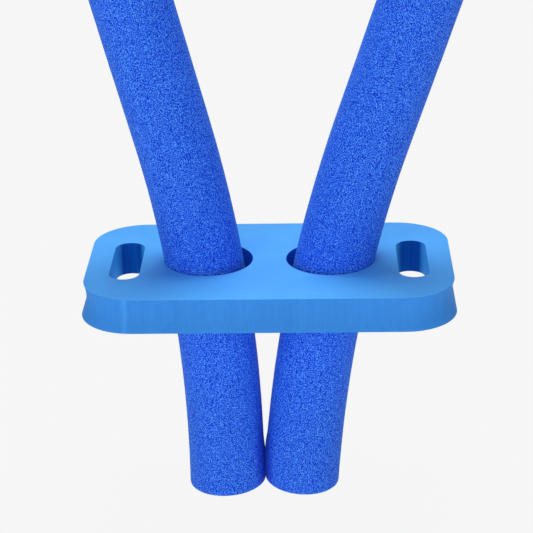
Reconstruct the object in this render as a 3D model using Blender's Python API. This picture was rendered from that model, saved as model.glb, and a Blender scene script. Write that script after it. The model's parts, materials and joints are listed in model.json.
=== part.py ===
"""Foam float board with two round holes, and a foam pool noodle threaded through each hole.

Metres, +Z up. The board lies level. The noodles lie in the XZ plane and spread upward like a V:
each one leans on the outer rim of its hole, and their lower ends meet under the board.
The origin is on the level of the lowest point of the noodles, under the middle of the whole object.
"""
import math

import bmesh
import bpy
from mathutils import Vector

# board, measured at its top face
BOARD_WIDTH = 0.300
BOARD_DEPTH = 0.166
BOARD_THICKNESS = 0.028
CORNER_RADIUS = 0.043
FOOT_FLARE = 0.0024  # the bottom edge stands out this far past the top edge
SIDE_WAIST = 0.0030  # the cut side walls are hollow by this much at mid height

# noodles
NOODLE_DIAMETER = 0.064
NOODLE_LENGTH = 1.500
LOWER_LENGTH = 0.206  # from the board's top face down to the lower end, along the noodle
BEND_ABOVE = 0.120  # from the top face up to where the noodle runs straight
END_ROUND = 0.0010

# round holes
HOLE_PLAY = 0.0095  # the hole's diameter less the noodle's
HOLE_PITCH = 0.101
HOLE_SET_BACK = 0.0025  # both holes lie this far behind the board's middle line
NOODLE_FORWARD = 0.0012  # and the noodles this far in front of their holes' middles
HOLE_DIAMETER = NOODLE_DIAMETER + HOLE_PLAY
RIM_GAP = 0.0006  # where a noodle leans on its hole's outer rim
TIP_GAP = 0.0004  # between the two noodles where their lower ends meet
TILT_SLACK = math.radians(0.4)  # the steeper noodle stands this much short of jamming in its hole
TILT_DIFFERENCE = math.radians(4.3)  # the left noodle stands more upright by this angle

# hand slots
SLOT_WIDTH = 0.025
SLOT_LENGTH = 0.080
SLOT_EDGE = 0.0195  # the wall between a slot and the board's end

OUTLINE_STEPS = 12  # per quarter turn of a corner
WALL_STEPS = 6  # from the bottom edge of the side wall to the top edge
CUT_OVERRUN = 0.005  # how far a cutter reaches past both faces
HOLE_SIDES = 72
NOODLE_SIDES = 48
ARC_STEP = 0.012  # between two rings of the bent part of a noodle


def clear_scene():
    for item in list(bpy.data.objects):
        bpy.data.objects.remove(item, do_unlink=True)


def foam_material(name, colour, roughness):
    material = bpy.data.materials.new(name)
    material.use_nodes = True
    shader = material.node_tree.nodes["Principled BSDF"]
    shader.inputs["Base Color"].default_value = (*colour, 1.0)
    shader.inputs["Roughness"].default_value = roughness
    shader.inputs["Metallic"].default_value = 0.0
    return material


def add_object(name, mesh, material=None):
    item = bpy.data.objects.new(name, mesh)
    bpy.context.scene.collection.objects.link(item)
    if material:
        mesh.materials.append(material)
    return item


def steepest_tilt():
    """The tilt at which a straight noodle jams between the top and bottom rims of its hole."""
    opening = HOLE_DIAMETER - 2 * RIM_GAP
    diagonal = math.hypot(opening, BOARD_THICKNESS)
    return math.acos(NOODLE_DIAMETER / diagonal) - math.atan2(BOARD_THICKNESS, opening)


def rim_point(tilt, side):
    """Where a noodle's centre line passes the top face: it leans on the hole's outer rim."""
    across = NOODLE_DIAMETER / 2 / math.cos(tilt)
    return Vector((
        side * (HOLE_PITCH / 2 + HOLE_DIAMETER / 2 - RIM_GAP - across),
        HOLE_SET_BACK - NOODLE_FORWARD,
        0,
    ))


def inner_edge(tilt, radius, along):
    """How far a noodle's inner side has come in from its rim point, this far down along it."""
    angle = tilt - along / radius
    return radius * (math.cos(angle) - math.cos(tilt)) + NOODLE_DIAMETER / 2 / math.cos(angle)


def closest_approach(tilts, radius):
    """The smallest gap between the two noodles under the board."""
    between_rims = rim_point(tilts[1], 1).x - rim_point(tilts[-1], -1).x
    steps = math.ceil(LOWER_LENGTH / ARC_STEP)
    return between_rims - max(
        inner_edge(tilts[1], radius, LOWER_LENGTH * step / steps)
        + inner_edge(tilts[-1], radius, LOWER_LENGTH * step / steps)
        for step in range(steps + 1)
    )


def bend_radius(tilts):
    """The bend at which the two lower ends just meet, found by halving the interval."""
    low, high = 0.2, 60.0
    for _ in range(60):
        middle = (low + high) / 2
        if closest_approach(tilts, middle) > TIP_GAP:
            low = middle
        else:
            high = middle
    return (low + high) / 2


def centre_line(tilt, radius, side):
    """(point, direction) pairs from the lower end up: a round bend, then a straight run."""
    start = rim_point(tilt, side)
    steps = math.ceil((LOWER_LENGTH + BEND_ABOVE) / ARC_STEP)
    line = []
    for step in range(steps + 1):
        along = -LOWER_LENGTH + (LOWER_LENGTH + BEND_ABOVE) * step / steps
        angle = tilt + along / radius
        point = Vector((
            start.x + side * radius * (math.cos(tilt) - math.cos(angle)),
            start.y,
            start.z + radius * (math.sin(angle) - math.sin(tilt)),
        ))
        line.append((point, Vector((side * math.sin(angle), 0, math.cos(angle)))))
    last, heading = line[-1]
    line.append((last + heading * (NOODLE_LENGTH - LOWER_LENGTH - BEND_ABOVE), heading))
    return line


def bend_centre(tilt, radius, side):
    """The axis, along Y, that the noodle turns about as it slides through its hole."""
    return rim_point(tilt, side) + Vector((side * math.cos(tilt), 0, -math.sin(tilt))) * radius


def rounded_outline(half_x, half_y, radius, z):
    corners = ((1, 1, 0), (-1, 1, 90), (-1, -1, 180), (1, -1, 270))
    points = []
    for sign_x, sign_y, first in corners:
        for step in range(OUTLINE_STEPS + 1):
            angle = math.radians(first + 90 * step / OUTLINE_STEPS)
            points.append(Vector((
                sign_x * (half_x - radius) + radius * math.cos(angle),
                sign_y * (half_y - radius) + radius * math.sin(angle),
                z,
            )))
    return points


def cutter(name, outline):
    """A prism through the board and past both faces, kept out of the build."""
    shape = bmesh.new()
    depth = Vector((0, 0, BOARD_THICKNESS + CUT_OVERRUN))
    bottom = [shape.verts.new(point - depth) for point in outline]
    face = shape.faces.new(bottom)
    face.normal_update()
    if face.normal.z > 0:
        face.normal_flip()
    grown = bmesh.ops.extrude_face_region(shape, geom=[face])["geom"]
    lifted = [item for item in grown if isinstance(item, bmesh.types.BMVert)]
    bmesh.ops.translate(shape, vec=depth + Vector((0, 0, CUT_OVERRUN)), verts=lifted)
    bmesh.ops.recalc_face_normals(shape, faces=shape.faces)
    mesh = bpy.data.meshes.new(name)
    shape.to_mesh(mesh)
    shape.free()
    item = add_object(name, mesh)
    item.hide_render = True
    item.display_type = "WIRE"
    return item


def make_board(base):
    """Hollow side walls between two flat faces, then the holes and hand slots cut through."""
    shape = bmesh.new()
    rings = []
    for level in range(WALL_STEPS + 1):
        height = level / WALL_STEPS
        out = FOOT_FLARE * (1 - height) - 4 * SIDE_WAIST * height * (1 - height)
        outline = rounded_outline(
            BOARD_WIDTH / 2 + out, BOARD_DEPTH / 2 + out, CORNER_RADIUS + out,
            -BOARD_THICKNESS * (1 - height),
        )
        rings.append([shape.verts.new(point) for point in outline])
    for lower, upper in zip(rings, rings[1:]):
        count = len(lower)
        for i in range(count):
            j = (i + 1) % count
            shape.faces.new((lower[i], lower[j], upper[j], upper[i]))
    shape.faces.new(list(reversed(rings[0])))
    shape.faces.new(rings[-1])
    mesh = bpy.data.meshes.new("float_board")
    shape.to_mesh(mesh)
    shape.free()
    board = add_object("float_board", mesh, foam_material("board_foam", (0.10, 0.39, 0.90), 0.75))
    board.location = base

    for side in (-1, 1):
        round_hole = [
            Vector((
                side * HOLE_PITCH / 2 + HOLE_DIAMETER / 2 * math.cos(2 * math.pi * i / HOLE_SIDES),
                HOLE_SET_BACK + HOLE_DIAMETER / 2 * math.sin(2 * math.pi * i / HOLE_SIDES),
                0,
            ))
            for i in range(HOLE_SIDES)
        ]
        slot_x = side * (BOARD_WIDTH / 2 - SLOT_EDGE - SLOT_WIDTH / 2)
        slot = [
            point + Vector((slot_x, 0, 0))
            for point in rounded_outline(SLOT_WIDTH / 2, SLOT_LENGTH / 2, SLOT_WIDTH / 2 - 1e-5, 0)
        ]
        for label, outline in (("hole", round_hole), ("slot", slot)):
            tool = cutter(f"{label}_cutter_{'left' if side < 0 else 'right'}", outline)
            tool.location = base
            cut = board.modifiers.new(tool.name, "BOOLEAN")
            cut.operation = "DIFFERENCE"
            cut.solver = "EXACT"
            cut.object = tool
    board.data.shade_smooth()
    board.data.set_sharp_from_angle(angle=math.radians(35))
    return board


def ring(shape, centre, heading, radius):
    across = Vector((0, 1, 0)).cross(heading)
    return [
        shape.verts.new(
            centre
            + across * radius * math.cos(2 * math.pi * i / NOODLE_SIDES)
            + Vector((0, radius * math.sin(2 * math.pi * i / NOODLE_SIDES), 0))
        )
        for i in range(NOODLE_SIDES)
    ]


def make_noodle(name, line, pivot, base, material):
    """A round section carried along the centre line, cut square at both ends."""
    radius = NOODLE_DIAMETER / 2
    first, last = line[0], line[-1]
    stations = [(first[0], first[1], radius - END_ROUND)]
    stations.append((first[0] + first[1] * END_ROUND, first[1], radius))
    stations += [(point, heading, radius) for point, heading in line[1:-1]]
    stations.append((last[0] - last[1] * END_ROUND, last[1], radius))
    stations.append((last[0], last[1], radius - END_ROUND))
    shape = bmesh.new()
    rings = [ring(shape, point - pivot, heading, size) for point, heading, size in stations]
    for lower, upper in zip(rings, rings[1:]):
        for i in range(NOODLE_SIDES):
            j = (i + 1) % NOODLE_SIDES
            shape.faces.new((lower[i], lower[j], upper[j], upper[i]))
    shape.faces.new(list(reversed(rings[0])))
    shape.faces.new(rings[-1])
    bmesh.ops.recalc_face_normals(shape, faces=shape.faces)
    mesh = bpy.data.meshes.new(name)
    shape.to_mesh(mesh)
    shape.free()
    noodle = add_object(name, mesh, material)
    noodle.location = base + pivot
    mesh.shade_smooth()
    mesh.set_sharp_from_angle(angle=math.radians(35))
    return noodle


def lowest_point(lines):
    radius = NOODLE_DIAMETER / 2 - END_ROUND
    return min(
        min(line[0][0].z, line[0][0].z - radius * abs(line[0][1].x))
        for line in lines
    )


def outer_reach(line):
    """How far sideways the upper end of a noodle stands from the board's middle."""
    point, heading = line[-1]
    across = (NOODLE_DIAMETER / 2 - END_ROUND) * heading.z
    below = point - heading * END_ROUND
    return max(abs(point.x) + across, abs(below.x) + across + END_ROUND * heading.z)


def main():
    clear_scene()
    steep = steepest_tilt() - TILT_SLACK
    tilts = {1: steep, -1: steep - TILT_DIFFERENCE}
    radius = bend_radius(tilts)
    lines = {side: centre_line(tilts[side], radius, side) for side in (-1, 1)}
    middle = (outer_reach(lines[1]) - outer_reach(lines[-1])) / 2
    base = Vector((-middle, 0, -lowest_point(lines.values())))

    make_board(base)
    noodle_foam = foam_material("noodle_foam", (0.02, 0.13, 0.78), 0.85)
    for name, side in (("noodle_left", -1), ("noodle_right", 1)):
        pivot = bend_centre(tilts[side], radius, side)
        make_noodle(name, lines[side], pivot, base, noodle_foam)
        print(f"{name}: tilt {math.degrees(tilts[side]):.3f} deg, bend centre {tuple(base + pivot)}")
    print(f"bend radius {radius:.4f}, board's top face at z = {base.z:.5f}, x = {base.x:.5f}")


main()
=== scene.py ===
import json
import math

import bpy
from mathutils import Euler, Matrix, Vector, noise


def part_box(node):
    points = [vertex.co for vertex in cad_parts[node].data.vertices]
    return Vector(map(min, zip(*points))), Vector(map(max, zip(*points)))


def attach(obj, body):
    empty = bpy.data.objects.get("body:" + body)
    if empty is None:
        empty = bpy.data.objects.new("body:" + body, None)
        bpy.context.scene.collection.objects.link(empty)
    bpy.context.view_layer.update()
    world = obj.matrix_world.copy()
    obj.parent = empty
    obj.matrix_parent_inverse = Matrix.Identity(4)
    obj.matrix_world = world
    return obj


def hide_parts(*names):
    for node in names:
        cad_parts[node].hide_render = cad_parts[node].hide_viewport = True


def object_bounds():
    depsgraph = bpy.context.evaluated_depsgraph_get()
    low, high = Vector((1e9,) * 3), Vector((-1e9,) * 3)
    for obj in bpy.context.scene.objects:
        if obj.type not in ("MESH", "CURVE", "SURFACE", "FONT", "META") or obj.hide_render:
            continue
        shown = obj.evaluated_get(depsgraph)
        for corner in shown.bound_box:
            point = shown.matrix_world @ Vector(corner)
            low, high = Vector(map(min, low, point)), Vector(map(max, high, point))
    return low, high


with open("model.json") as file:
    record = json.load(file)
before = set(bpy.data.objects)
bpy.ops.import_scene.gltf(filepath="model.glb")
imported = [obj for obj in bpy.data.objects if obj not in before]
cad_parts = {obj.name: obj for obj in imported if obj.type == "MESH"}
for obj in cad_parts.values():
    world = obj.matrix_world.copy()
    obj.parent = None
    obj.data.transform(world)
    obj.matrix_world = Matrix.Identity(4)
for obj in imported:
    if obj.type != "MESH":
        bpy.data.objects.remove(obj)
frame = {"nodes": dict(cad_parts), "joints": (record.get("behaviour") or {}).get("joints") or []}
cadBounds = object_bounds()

boardLow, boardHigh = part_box("float_board")
boardCentre = (boardLow + boardHigh) / 2
boardTopCentre = Vector((boardCentre.x, boardCentre.y, boardHigh.z))
boardThickness = boardHigh.z - boardLow.z
joints = {joint["child"]: joint for joint in frame["joints"]}
tiny = 1e-5  # metres; points nearer than this are at the same place
sameLevel = 1e-4  # metres, for faces of one flat end
sameWay = 0.9999  # two normals face the same way if their product is more than this


# working on one object at a time

def makeActive(item):
    for other in list(bpy.context.selected_objects):
        other.select_set(False)
    item.select_set(True)
    bpy.context.view_layer.objects.active = item


def settle(item):  # puts the object's place and size into its mesh
    makeActive(item)
    bpy.ops.object.transform_apply(location=True, rotation=True, scale=True)


def selectEdges(item, test):  # in edit mode, by an edge's two ends
    bpy.ops.mesh.select_mode(type="EDGE")
    bpy.ops.mesh.select_all(action="DESELECT")
    bpy.ops.object.mode_set(mode="OBJECT")
    points = item.data.vertices
    for edge in item.data.edges:
        edge.select = test(points[edge.vertices[0]].co, points[edge.vertices[1]].co)
    bpy.ops.object.mode_set(mode="EDIT")


def selectPoints(item, test):  # in edit mode, by their place
    bpy.ops.mesh.select_mode(type="VERT")
    bpy.ops.mesh.select_all(action="DESELECT")
    bpy.ops.object.mode_set(mode="OBJECT")
    for point in item.data.vertices:
        point.select = test(point.co)
    bpy.ops.object.mode_set(mode="EDIT")


def applyModifier(item, modifier):
    makeActive(item)
    bpy.ops.object.modifier_apply(modifier=modifier.name)


def smoothFaces(item, degrees):  # and keep the edges that are sharper than this
    makeActive(item)
    bpy.ops.object.shade_smooth_by_angle(angle=math.radians(degrees))


# nodes for the procedural foams

black = (0.0, 0.0, 0.0)
white = (1.0, 1.0, 1.0)
unstretched = (1, 1, 1)


def startMaterial(name, roughness, specular):
    material = bpy.data.materials.new(name)
    material.use_nodes = True
    nodes = material.node_tree.nodes
    shader = nodes["Principled BSDF"]
    shader.inputs["Roughness"].default_value = roughness
    shader.inputs["Specular IOR Level"].default_value = specular
    return material, nodes, material.node_tree.links, shader


def objectCoordinates(nodes, links, scale):
    place = nodes.new("ShaderNodeTexCoord")
    mapping = nodes.new("ShaderNodeMapping")
    mapping.inputs["Scale"].default_value = scale
    links.new(place.outputs["Object"], mapping.inputs["Vector"])
    return mapping.outputs["Vector"]


def objectAxis(nodes, links, axis):
    place = nodes.new("ShaderNodeTexCoord")
    parts = nodes.new("ShaderNodeSeparateXYZ")
    links.new(place.outputs["Object"], parts.inputs[0])
    return parts.outputs[axis]


def noiseOf(nodes, links, vector, scale, detail=2.0, roughness=0.5, distortion=0.0):
    node = nodes.new("ShaderNodeTexNoise")
    node.inputs["Scale"].default_value = scale
    node.inputs["Detail"].default_value = detail
    node.inputs["Roughness"].default_value = roughness
    node.inputs["Distortion"].default_value = distortion
    links.new(vector, node.inputs["Vector"])
    return node.outputs["Fac"]


def feed(links, socket, value):  # a number, a colour or another node's output
    if isinstance(value, (int, float)):
        socket.default_value = value
    elif isinstance(value, tuple):
        socket.default_value = (*value, 1.0)
    else:
        links.new(value, socket)


def mathOf(nodes, links, operation, *values):
    node = nodes.new("ShaderNodeMath")
    node.operation = operation
    for socket, value in zip(node.inputs, values):
        feed(links, socket, value)
    return node.outputs[0]


def distanceFrom(nodes, links, value, place):
    return mathOf(nodes, links, "ABSOLUTE", mathOf(nodes, links, "SUBTRACT", value, place))


def rampOf(nodes, links, factor, stops):
    node = nodes.new("ShaderNodeValToRGB")
    ramp = node.color_ramp
    while len(ramp.elements) < len(stops):
        ramp.elements.new(0.5)
    for element, (position, colour) in zip(ramp.elements, stops):
        element.position = position
        element.color = (*colour, 1.0)
    links.new(factor, node.inputs["Fac"])
    return node.outputs["Color"]


def rampOver(nodes, links, value, length, stops):  # the stops are shares of a length
    return rampOf(nodes, links, mathOf(nodes, links, "DIVIDE", value, length), stops)


def mixOf(nodes, links, factor, first, second, blendType="MIX"):
    node = nodes.new("ShaderNodeMix")
    node.data_type = "RGBA"
    node.blend_type = blendType
    for socket, value in ((node.inputs[0], factor), (node.inputs[6], first), (node.inputs[7], second)):
        feed(links, socket, value)
    return node.outputs[2]


def bumpOf(nodes, links, height, distance, strength=1.0, below=None):
    node = nodes.new("ShaderNodeBump")
    node.inputs["Distance"].default_value = distance
    node.inputs["Strength"].default_value = strength
    links.new(height, node.inputs["Height"])
    if below is not None:
        links.new(below, node.inputs["Normal"])
    return node.outputs["Normal"]


# the board: one die-cut block of dense foam

floatBoard = {
    "footFlare": 0.0024,  # the bottom edge stands out past the top edge
    "sideWaist": 0.0030,  # how hollow the cut side walls are
    "cornerRadius": 0.043,  # at the top edge
    "cornerSegments": 20,
    "wallCuts": 7,  # rings of points between the bottom edge and the top edge
    "holeRadius": 0.03675,
    "holePitch": 0.101,
    "holeSetBack": 0.0025,
    "holeSides": 128,
    "slotWidth": 0.025,
    "slotLength": 0.080,
    "slotEdge": 0.0195,  # the wall between a slot and the board's end
    "slotSides": 64,
    "cutterOverrun": 0.010,  # past the top and past the underside
    "edgeRound": 0.0007,
    "edgeSegments": 3,
    "sharpEdge": 50,  # degrees; edges sharper than this are rounded
    "smoothBelow": 40,  # degrees; edges less sharp than this are shaded smooth
    "wallBand": 0.010,  # walls nearer to the outline than this are outside walls
    "holeMargin": 0.002,  # walls further out than this past a round hole are slot walls
    "flatLimit": 0.55,  # faces that look up or down by more than this are moulded skin
    "skinColours": [(0.32, (0.078, 0.405, 0.950)), (0.68, (0.090, 0.445, 0.990))],
    "cutColours": ((0.037, 0.246, 0.735), (0.041, 0.270, 0.790), (0.047, 0.294, 0.845)),
    # painted shade: the walls of the round holes are painted deep navy for the shade that falls in them
    "boreShadeColours": ((0.0010, 0.082, 0.450), (0.0015, 0.108, 0.540), (0.0040, 0.140, 0.620)),
    # painted light and shade: the slots' round ends are painted navy as shade, and their straight sides are a
    # paler, lit copy of the cut foam
    "slotShadeColours": ((0.0008, 0.060, 0.330), (0.0012, 0.082, 0.395), (0.0045, 0.120, 0.500)),
    "slotLitSideColour": (0.078, 0.470, 0.920),
    "bladeStops": (0.32, 0.50, 0.68),
    "bladeStretch": (1, 1, 0.04),  # so that the marks run upright
    "streakShare": 0.6,  # of fine marks, and the rest is broad ones
    "broadShare": 0.4,
    "markStrength": 0.3,
    "cutMarks": 0.00008,  # how deep the blade's marks are
    "boreMarks": 0.00020,
    "paleBandPlace": 0.1140,  # a paler upright band near the left end of the front wall
    "paleBandWidth": 0.0034,
    "paleBandColour": (0.080, 0.400, 1.0),
}
topWidth = boardHigh.x - boardLow.x - 2 * floatBoard["footFlare"]
topDepth = boardHigh.y - boardLow.y - 2 * floatBoard["footFlare"]
slotRadius = floatBoard["slotWidth"] / 2
slotAside = topWidth / 2 - floatBoard["slotEdge"] - slotRadius  # from the board's middle


def boardSkinMaterial():
    material, nodes, links, shader = startMaterial("boardSkin", roughness=0.60, specular=0.22)
    place = objectCoordinates(nodes, links, unstretched)
    cloudy = noiseOf(nodes, links, place, scale=24, detail=3, roughness=0.55)
    colour = rampOf(nodes, links, cloudy, floatBoard["skinColours"])
    grain = noiseOf(nodes, links, place, scale=1400, detail=2, roughness=0.7)
    grainTint = rampOf(nodes, links, grain, [(0.30, (0.93, 0.94, 0.95)), (0.70, white)])
    links.new(mixOf(nodes, links, 1.0, colour, grainTint, "MULTIPLY"), shader.inputs["Base Color"])
    links.new(bumpOf(nodes, links, grain, distance=0.00008, strength=0.5), shader.inputs["Normal"])
    return material


def bladeMarks(nodes, links, colours):  # a cut wall keeps faint upright marks of the blade
    upright = objectCoordinates(nodes, links, floatBoard["bladeStretch"])
    streaks = noiseOf(nodes, links, upright, scale=420, detail=3, roughness=0.6)
    broad = noiseOf(nodes, links, upright, scale=60, detail=2)
    both = mathOf(nodes, links, "ADD", mathOf(nodes, links, "MULTIPLY", streaks, floatBoard["streakShare"]),
                  mathOf(nodes, links, "MULTIPLY", broad, floatBoard["broadShare"]))
    return streaks, rampOf(nodes, links, both, list(zip(floatBoard["bladeStops"], colours)))


def finishCutWall(nodes, links, shader, colour, streaks, markDepth):
    place = objectCoordinates(nodes, links, unstretched)
    grain = noiseOf(nodes, links, place, scale=1300, detail=2, roughness=0.7)
    grainTint = rampOf(nodes, links, grain, [(0.30, (0.90, 0.92, 0.94)), (0.70, white)])
    links.new(mixOf(nodes, links, 1.0, colour, grainTint, "MULTIPLY"), shader.inputs["Base Color"])
    grainBump = bumpOf(nodes, links, grain, distance=0.00010, strength=0.5)
    marks = bumpOf(nodes, links, streaks, markDepth, floatBoard["markStrength"], grainBump)
    links.new(marks, shader.inputs["Normal"])


def boardCutMaterial():
    material, nodes, links, shader = startMaterial("boardCut", roughness=0.72, specular=0.15)
    streaks, colour = bladeMarks(nodes, links, floatBoard["cutColours"])
    # a paler upright band at the given place, broken up by the blade marks
    paleBandX = boardCentre.x - floatBoard["paleBandPlace"]
    aside = distanceFrom(nodes, links, objectAxis(nodes, links, "X"), paleBandX)
    paleBand = rampOver(nodes, links, aside, floatBoard["paleBandWidth"], [(0.2, (0.8, 0.8, 0.8)), (1.0, black)])
    patchy = mathOf(nodes, links, "MULTIPLY", paleBand, streaks)
    withPaleBand = mixOf(nodes, links, patchy, colour, floatBoard["paleBandColour"])
    finishCutWall(nodes, links, shader, withPaleBand, streaks, floatBoard["cutMarks"])
    return material


def boreShadeMaterial():  # painted shade: the walls of the round holes are painted a deep navy for the shade that falls in them
    material, nodes, links, shader = startMaterial("boardBoreShade", roughness=0.72, specular=0.04)
    streaks, colour = bladeMarks(nodes, links, floatBoard["boreShadeColours"])
    finishCutWall(nodes, links, shader, colour, streaks, floatBoard["boreMarks"])
    return material


def slotShadeMaterial():  # painted light and shade: the slots' round ends are painted navy as shade, and their straight sides paler as light
    material, nodes, links, shader = startMaterial("boardSlotShade", roughness=0.72, specular=0.04)
    streaks, dark = bladeMarks(nodes, links, floatBoard["slotShadeColours"])
    # painted shade at the round ends, painted light on the straight sides
    aside = distanceFrom(nodes, links, objectAxis(nodes, links, "X"), boardCentre.x)
    across = distanceFrom(nodes, links, aside, slotAside)
    litSides = rampOver(nodes, links, across, slotRadius, [(0.60, black), (1.00, white)])
    colour = mixOf(nodes, links, litSides, dark, floatBoard["slotLitSideColour"])
    finishCutWall(nodes, links, shader, colour, streaks, floatBoard["boreMarks"])
    return material


def makeBlock():  # the outline with its round corners and waisted side walls
    bpy.ops.mesh.primitive_cube_add(size=1, location=boardCentre, scale=(topWidth, topDepth, boardThickness))
    block = bpy.context.active_object
    block.name = "floatBoardFoam"
    settle(block)

    bpy.ops.object.mode_set(mode="EDIT")
    selectEdges(block, lambda a, b: abs(a.z - b.z) > boardThickness / 2)
    bpy.ops.mesh.bevel(
        offset=floatBoard["cornerRadius"], segments=floatBoard["cornerSegments"], affect="EDGES",
    )
    steps = floatBoard["wallCuts"] + 1
    for step in range(1, steps):
        bpy.ops.mesh.select_all(action="SELECT")
        height = boardLow.z + boardThickness * step / steps
        bpy.ops.mesh.bisect(plane_co=(0, 0, height), plane_no=(0, 0, 1))
    for step in range(steps):  # every level below the top edge
        share = step / steps
        height = boardLow.z + boardThickness * share
        out = floatBoard["footFlare"] * (1 - share) - 4 * floatBoard["sideWaist"] * share * (1 - share)
        selectPoints(block, lambda point: abs(point.z - height) < tiny)
        bpy.ops.transform.resize(
            value=(1 + 2 * out / topWidth, 1 + 2 * out / topDepth, 1),
            center_override=(boardCentre.x, boardCentre.y, height),
        )
    bpy.ops.object.mode_set(mode="OBJECT")
    return block


def makeCutter(sides, radius, x, y):
    bpy.ops.mesh.primitive_cylinder_add(
        vertices=sides, radius=radius, depth=boardThickness + 2 * floatBoard["cutterOverrun"],
        location=(boardCentre.x + x, boardCentre.y + y, boardCentre.z),
    )
    cutter = bpy.context.active_object
    settle(cutter)
    return cutter


def makeSlotCutter(side):  # a round cutter pulled out to the slot's length
    slot = makeCutter(floatBoard["slotSides"], slotRadius, side * slotAside, 0)
    bpy.ops.object.mode_set(mode="EDIT")
    stretch = floatBoard["slotLength"] / 2 - slotRadius
    for end in (-1, 1):
        selectPoints(slot, lambda point: end * (point.y - boardCentre.y) > tiny)
        bpy.ops.transform.translate(value=(0, end * stretch, 0))
    bpy.ops.object.mode_set(mode="OBJECT")
    return slot


def cutOpenings(block):
    cutters = []
    for side in (-1, 1):
        cutters.append(makeCutter(floatBoard["holeSides"], floatBoard["holeRadius"],
                                  side * floatBoard["holePitch"] / 2, floatBoard["holeSetBack"]))
        cutters.append(makeSlotCutter(side))
    for cutter in cutters:
        cut = block.modifiers.new("cut", "BOOLEAN")
        cut.operation = "DIFFERENCE"
        cut.solver = "EXACT"
        cut.object = cutter
        applyModifier(block, cut)
    for cutter in cutters:
        bpy.data.objects.remove(cutter, do_unlink=True)


def roundEdges(block):
    rounding = block.modifiers.new("edges", "BEVEL")
    rounding.width = floatBoard["edgeRound"]
    rounding.segments = floatBoard["edgeSegments"]
    rounding.limit_method = "ANGLE"
    rounding.angle_limit = math.radians(floatBoard["sharpEdge"])
    applyModifier(block, rounding)


def foamKind(face):  # 0 moulded skin, 1 outside wall, 2 wall of a round hole, 3 wall of a slot
    if abs(face.normal.z) > floatBoard["flatLimit"]:
        return 0
    aside = abs(face.center.x - boardCentre.x)
    ahead = abs(face.center.y - boardCentre.y)
    inward = floatBoard["wallBand"]
    radius = floatBoard["cornerRadius"]
    inside = aside < topWidth / 2 - inward and ahead < topDepth / 2 - inward
    corner = (aside - topWidth / 2 + radius, ahead - topDepth / 2 + radius)
    if min(corner) > 0:
        inside = math.hypot(*corner) < radius - inward
    if not inside:
        return 1
    holeEnd = floatBoard["holePitch"] / 2 + floatBoard["holeRadius"] + floatBoard["holeMargin"]
    return 3 if aside > holeEnd else 2


def makeFloatBoard():
    block = makeBlock()
    cutOpenings(block)
    roundEdges(block)
    block.data.materials.clear()
    for material in (boardSkinMaterial(), boardCutMaterial(), boreShadeMaterial(), slotShadeMaterial()):
        block.data.materials.append(material)
    for face in block.data.polygons:
        face.material_index = foamKind(face)
    smoothFaces(block, floatBoard["smoothBelow"])
    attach(block, "board")
    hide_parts("float_board")
    print("board:", len(block.data.polygons), "faces")


# the noodles: long rods of soft foam with a fine cell pattern, bent where the board grips them

noodle = {
    "sides": 96,
    "ringsPerCut": 24,  # the rod is cut into rings twice, so it has about this many squared
    "endRound": 0.0020,
    "endRoundSegments": 3,
    "endRings": 9,
    "endLimit": 0.7,  # faces that look along the rod by more than this are sawn
    "smoothBelow": 45,
    "outward": {"left_noodle": -1, "right_noodle": 1},
    "noiseShift": {"left_noodle": 3.0, "right_noodle": 7.0},  # the two rods aren't alike
    "gripped": 0.206,  # how far up the rod the board's top face grips it
    "swell": 0.00008,  # slow unevenness of the extruded skin
    "swellScale": 55,
    "ripple": 0.00006,  # and the finer one on top of it
    "rippleScale": 260,
    "fatter": 0.00008,  # the foam springs out a little above the board
    "fatterBelow": 0.00024,  # and more below it
    "fatterStart": 0.02,  # the change begins this far under the board's top face
    "fatterRun": 0.10,
    "touchTop": 0.021,  # near their lower ends the two rods swell until they touch
    "touchFade": 0.022,
    "touchPress": 0.0003,
    "touchAside": 0.0010,  # where they touch is a little to the right of half way
    "touchGap": 0.00001,  # from each rod to the plane between them
    "searchSteps": 60,  # along the rods, for the place where they come nearest
    "searchStep": 0.002,
    "creaseShadeWidth": 0.0083,  # painted shade: the foam is painted darker in the crease where the rods squeeze together
    "creaseShadeHeight": 0.125,
    "spread": 0.0022,  # and well above the board they bow apart
    "spreadRun": 0.26,
    "longer": {"left_noodle": 0.0008, "right_noodle": 0.0014},
    "slant": {"left_noodle": 0.055, "right_noodle": 0.0},  # of the saw cut at the lower end
    "slantRun": 0.030,  # the slant dies out along this much of the rod
    "cutWaviness": 0.00025,  # of the sawn ends
    "speckColours": [(0.37, (0.0005, 0.017, 0.430)), (0.46, (0.006, 0.071, 0.740)),
                     (0.54, (0.021, 0.136, 0.970)), (0.63, (0.100, 0.345, 1.0))],
    "wormSteepness": 9.0,  # pale worm-shaped cells, and how narrow they are
    "wormColour": (0.060, 0.260, 1.0),
    "wormShare": (0.16, 0.16, 0.16),
    # painted shade of the crease, from where the rods touch outwards
    "creaseShadeColours": [(0.0, (0.15, 0.05, 0.80)), (0.3, (0.50, 0.40, 0.76)),
                       (0.6, (0.72, 0.64, 0.89)), (1.0, white)],
    "poreColours": [(0.05, (0.008, 0.060, 0.560)), (0.40, (0.028, 0.150, 0.850)),
                    (0.75, (0.080, 0.260, 0.980))],
}


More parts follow.
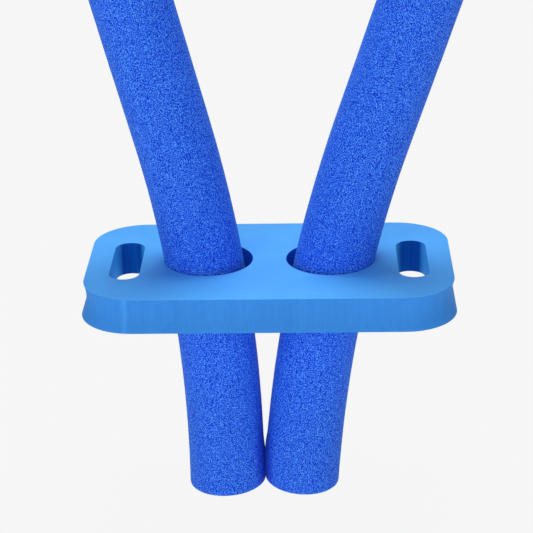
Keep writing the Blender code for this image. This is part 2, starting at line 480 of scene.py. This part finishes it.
def noodleSkinMaterial():
    material, nodes, links, shader = startMaterial("noodleSkin", roughness=0.70, specular=0.08)
    place = objectCoordinates(nodes, links, unstretched)
    cells = noiseOf(nodes, links, place, scale=620, detail=1.5, roughness=0.6, distortion=0.8)
    ridge = distanceFrom(nodes, links, cells, 0.5)
    steep = mathOf(nodes, links, "MULTIPLY", ridge, noodle["wormSteepness"])
    worms = mathOf(nodes, links, "SUBTRACT", 1.0, steep)
    specks = noiseOf(nodes, links, place, scale=1300, detail=0.5, roughness=0.6)
    colour = rampOf(nodes, links, specks, noodle["speckColours"])
    light = rampOf(nodes, links, worms, [(0.30, black), (0.95, noodle["wormShare"])])
    bright = mixOf(nodes, links, light, colour, noodle["wormColour"])
    # painted shade in the crease where the rods touch, fading out higher up the rods
    aside = distanceFrom(nodes, links, objectAxis(nodes, links, "X"), touchPlane)
    creaseShade = rampOver(nodes, links, aside, noodle["creaseShadeWidth"], noodle["creaseShadeColours"])
    height = objectAxis(nodes, links, "Z")
    unshadedAbove = rampOver(nodes, links, height, noodle["creaseShadeHeight"], [(0.3, black), (1.0, white)])
    shade = mixOf(nodes, links, unshadedAbove, creaseShade, white)
    links.new(mixOf(nodes, links, 1.0, bright, shade, "MULTIPLY"), shader.inputs["Base Color"])
    fine = bumpOf(nodes, links, specks, distance=0.0003, strength=0.6)
    both = bumpOf(nodes, links, worms, distance=0.0002, strength=0.4, below=fine)
    links.new(both, shader.inputs["Normal"])
    shader.inputs["Sheen Weight"].default_value = 0.22
    shader.inputs["Sheen Roughness"].default_value = 0.30
    shader.inputs["Sheen Tint"].default_value = (0.10, 0.60, 1.0, 1.0)
    return material


def noodleCutMaterial():  # a sawn end opens the cells: a little paler, with small dark pores
    material, nodes, links, shader = startMaterial("noodleCut", roughness=0.80, specular=0.20)
    pores = nodes.new("ShaderNodeTexVoronoi")
    pores.feature = "F1"
    pores.inputs["Scale"].default_value = 700
    links.new(objectCoordinates(nodes, links, unstretched), pores.inputs["Vector"])
    depth = pores.outputs["Distance"]
    links.new(rampOf(nodes, links, depth, noodle["poreColours"]), shader.inputs["Base Color"])
    links.new(bumpOf(nodes, links, depth, distance=0.0004, strength=0.8), shader.inputs["Normal"])
    return material


def flatEnd(node, upper):
    # the centre of a plain noodle's cut end, and the way that the end faces
    mesh = frame["nodes"][node].data
    sign = 1 if upper else -1
    steepest = max(mesh.polygons, key=lambda face: (round(sign * face.normal.z, 3), face.area))
    normal = steepest.normal.copy()
    level = steepest.center.dot(normal)
    end = [face for face in mesh.polygons
           if face.normal.dot(normal) > sameWay and abs(face.center.dot(normal) - level) < sameLevel]
    area = sum(face.area for face in end)
    return sum((face.center * face.area for face in end), Vector()) / area, normal


def noodlePath(node, body):
    # a round bend about the joint's axis, then a straight run
    lower, lowerNormal = flatEnd(node, False)
    upper, upperNormal = flatEnd(node, True)
    heading = -lowerNormal
    pivot = Vector(joints[body]["pos_m"])
    pivot.y = lower.y
    turn = math.copysign(heading.angle(upperNormal), heading.cross(upperNormal).y)
    bendEnd = pivot + Matrix.Rotation(turn, 3, "Y") @ (lower - pivot)
    return {
        "lower": lower, "heading": heading, "pivot": pivot, "turn": turn,
        "bendLength": abs(turn) * (lower - pivot).length, "straightLength": (upper - bendEnd).length,
    }


def pointOnPath(path, along):
    share = min(along / path["bendLength"], 1.0)
    rotation = Matrix.Rotation(path["turn"] * share, 3, "Y")
    heading = rotation @ path["heading"]
    point = path["pivot"] + rotation @ (path["lower"] - path["pivot"])
    return point + heading * max(along - path["bendLength"], 0.0), heading


def nearestPlane():
    # half way between the two rods, where they come nearest under the board
    gaps = []
    paths = [noodlePath("noodle_left", "left_noodle"), noodlePath("noodle_right", "right_noodle")]
    for step in range(noodle["searchSteps"]):
        left, right = (pointOnPath(path, noodle["searchStep"] * step)[0] for path in paths)
        gaps.append((right.x - left.x, (left.x + right.x) / 2))
    return min(gaps)[1]


def smoothStep(share):
    share = min(max(share, 0.0), 1.0)
    return share * share * (3 - 2 * share)


def makeStraightRod(name, radius, length):
    bpy.ops.mesh.primitive_circle_add(vertices=noodle["sides"], radius=radius, fill_type="NGON")
    rod = bpy.context.active_object
    rod.name = name
    bpy.ops.object.mode_set(mode="EDIT")
    bpy.ops.mesh.select_all(action="SELECT")
    bpy.ops.mesh.extrude_region_move(TRANSFORM_OT_translate={"value": (0, 0, length)})
    for _ in range(2):  # short rings all along, so that the rod bends smoothly
        selectEdges(rod, lambda a, b: abs(a.z - b.z) > tiny)
        bpy.ops.mesh.subdivide(number_cuts=noodle["ringsPerCut"])
    for level in (0.0, length):
        selectEdges(rod, lambda a, b: abs(a.z - level) < tiny and abs(b.z - level) < tiny)
        bpy.ops.mesh.bevel(offset=noodle["endRound"], segments=noodle["endRoundSegments"], affect="EDGES")
    step = (radius - noodle["endRound"]) / (noodle["endRings"] + 1)
    for level in (0.0, length):  # rings across each sawn end
        selectPoints(rod, lambda point: abs(point.z - level) < tiny)
        bpy.ops.mesh.select_mode(type="FACE")
        for _ in range(noodle["endRings"]):
            bpy.ops.mesh.inset(thickness=step)
    bpy.ops.mesh.select_all(action="SELECT")
    bpy.ops.mesh.normals_make_consistent(inside=False)
    bpy.ops.object.mode_set(mode="OBJECT")
    return rod


def unevenFoam(spot, length, shift):  # a point of the straight rod, moved as real foam is uneven
    if spot.z < tiny or spot.z > length - tiny:
        lift = noise.noise(spot * noodle["rippleScale"] + shift) * noodle["cutWaviness"]
        if spot.z > length / 2:
            lift -= noodle["cutWaviness"]
        return spot + Vector((0, 0, lift))
    across = Vector((spot.x, spot.y, 0)).normalized()
    lift = noise.noise(spot * noodle["swellScale"] + shift) * noodle["swell"]
    lift += noise.noise(spot * noodle["rippleScale"] + shift) * noodle["ripple"]
    above = smoothStep((spot.z - noodle["gripped"] + noodle["fatterStart"]) / noodle["fatterRun"])
    return spot + across * (lift + noodle["fatter"] + noodle["fatterBelow"] * (1 - above))


def bendRod(rod, body, path, radius, length):
    shift = Vector((0, 0, noodle["noiseShift"][body]))
    outward = noodle["outward"][body]
    inner = radius + noodle["fatter"] + noodle["fatterBelow"]
    for vertex in rod.data.vertices:
        spot = unevenFoam(vertex.co.copy(), length, shift)
        point, heading = pointOnPath(path, spot.z)
        side = Vector((0, 1, 0)).cross(heading)
        bow = noodle["spread"] * smoothStep((spot.z - noodle["gripped"]) / noodle["spreadRun"])
        room = outward * (point.x - touchPlane) - inner
        near = 1 - smoothStep((spot.z - noodle["touchTop"]) / noodle["touchFade"])
        press = (room + noodle["touchPress"]) * near
        bow -= press * (1 - outward * spot.x / radius) / 2  # the inner side swells, the outer doesn't
        vertex.co = point + side * (spot.x + outward * bow) + Vector((0, spot.y, 0))
        cut = 1 - min(spot.z / noodle["slantRun"], 1.0)
        vertex.co += heading * (noodle["slant"][body] * spot.x - noodle["longer"][body]) * cut
        if outward * (vertex.co.x - touchPlane) < noodle["touchGap"]:
            vertex.co.x = touchPlane + outward * noodle["touchGap"]
    rod.data.update()


def makeNoodle(name, node, body, skin, cutEnd):
    path = noodlePath(node, body)
    length = path["bendLength"] + path["straightLength"]
    radius = (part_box(node)[1].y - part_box(node)[0].y) / 2
    rod = makeStraightRod(name, radius, length)
    rod.data.materials.clear()
    rod.data.materials.append(skin)
    rod.data.materials.append(cutEnd)
    for face in rod.data.polygons:
        face.material_index = int(abs(face.normal.z) > noodle["endLimit"])
    bendRod(rod, body, path, radius, length)
    smoothFaces(rod, noodle["smoothBelow"])
    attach(rod, body)
    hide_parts(node)
    print(name + ":", len(rod.data.polygons), "faces")


# the studio: a pale floor, an even white room and soft lamps

studio = {
    "floorHalf": 30.0,
    "wallRadius": 29.0,
    "wallSides": 64,
    "floorGrey": (0.02, 0.02, 0.02, 1.0),
    "floorGlow": 0.905,
    "floorDrop": 0.0025,  # below the lowest foam, which is a little proud of the plain solids
    "roomStrength": 0.33,
    "lamps": [  # name, place seen from the board's top, size across, power
        ("softOverhead", (0.0, 0.60, 2.60), 1.4, 46.0),
        ("softFront", (-0.6, -2.3, 0.9), 2.0, 26.0),
    ],
}


def makeFloor():
    material, _, _, shader = startMaterial("floorWhite", roughness=0.9, specular=0.0)
    shader.inputs["Base Color"].default_value = studio["floorGrey"]
    shader.inputs["Emission Color"].default_value = (1.0, 1.0, 1.0, 1.0)
    shader.inputs["Emission Strength"].default_value = studio["floorGlow"]

    middle = (0, 0, cadBounds[0][2] - studio["floorDrop"])
    size = 2 * studio["floorHalf"]
    bpy.ops.mesh.primitive_plane_add(size=size, location=middle)
    floor = bpy.context.active_object
    floor.name = "paleFloor"
    bpy.ops.mesh.primitive_cylinder_add(vertices=studio["wallSides"], radius=studio["wallRadius"], depth=size,
                                        end_fill_type="NOTHING", location=middle)
    wall = bpy.context.active_object
    wall.name = "paleWall"
    wall.visible_diffuse = False  # it closes the view above the floor, and gives no light
    wall.visible_glossy = False
    wall.visible_transmission = False
    wall.visible_shadow = False
    for item in (floor, wall):
        settle(item)
        item.data.materials.append(material)
    print("floor and wall made")


def areaLight(name, place, aim, size, power):
    data = bpy.data.lights.new(name, "AREA")
    data.shape = "DISK"
    data.size = size
    data.energy = power
    lamp = bpy.data.objects.new(name, data)
    bpy.context.scene.collection.objects.link(lamp)
    lamp.location = place
    lamp.rotation_euler = (Vector(aim) - Vector(place)).to_track_quat("-Z", "Y").to_euler()
    lamp.visible_camera = False


def makeLight():
    world = bpy.data.worlds.new("whiteRoom")
    world.use_nodes = True
    background = world.node_tree.nodes["Background"]
    background.inputs["Color"].default_value = (1.0, 1.0, 1.0, 1.0)
    background.inputs["Strength"].default_value = studio["roomStrength"]
    bpy.context.scene.world = world
    for name, place, size, power in studio["lamps"]:
        areaLight(name, boardTopCentre + Vector(place), boardTopCentre, size, power)
    print("lamps:", len(studio["lamps"]))


view = {
    "standOff": (0.0392, -1.4179, 0.5773),  # from the middle of the board's top face
    "down": 22.36,  # degrees
    "turn": -1.69,  # degrees
    "roll": -1.13,  # degrees
    "lens": 124.95,
    "sensor": 36.0,
    "farthest": 100.0,
}


def makeCamera():
    data = bpy.data.cameras.new("viewCamera")
    data.lens = view["lens"]
    data.sensor_width = view["sensor"]
    data.clip_end = view["farthest"]
    data.dof.use_dof = False
    camera = bpy.data.objects.new("viewCamera", data)
    bpy.context.scene.collection.objects.link(camera)
    aim = Euler((math.radians(90 - view["down"]), 0, math.radians(-view["turn"]))).to_matrix()
    turned = aim @ Matrix.Rotation(math.radians(view["roll"]), 3, "Z")
    camera.matrix_world = Matrix.Translation(boardTopCentre + Vector(view["standOff"])) @ turned.to_4x4()
    bpy.context.scene.camera = camera
    print("camera set")


makeFloatBoard()
touchPlane = nearestPlane() + noodle["touchAside"]
skinFoam = noodleSkinMaterial()
cutFoam = noodleCutMaterial()
makeNoodle("foamNoodleLeft", "noodle_left", "left_noodle", skinFoam, cutFoam)
makeNoodle("foamNoodleRight", "noodle_right", "right_noodle", skinFoam, cutFoam)
makeFloor()
makeLight()
makeCamera()
bpy.context.scene.view_settings.view_transform = "Standard"
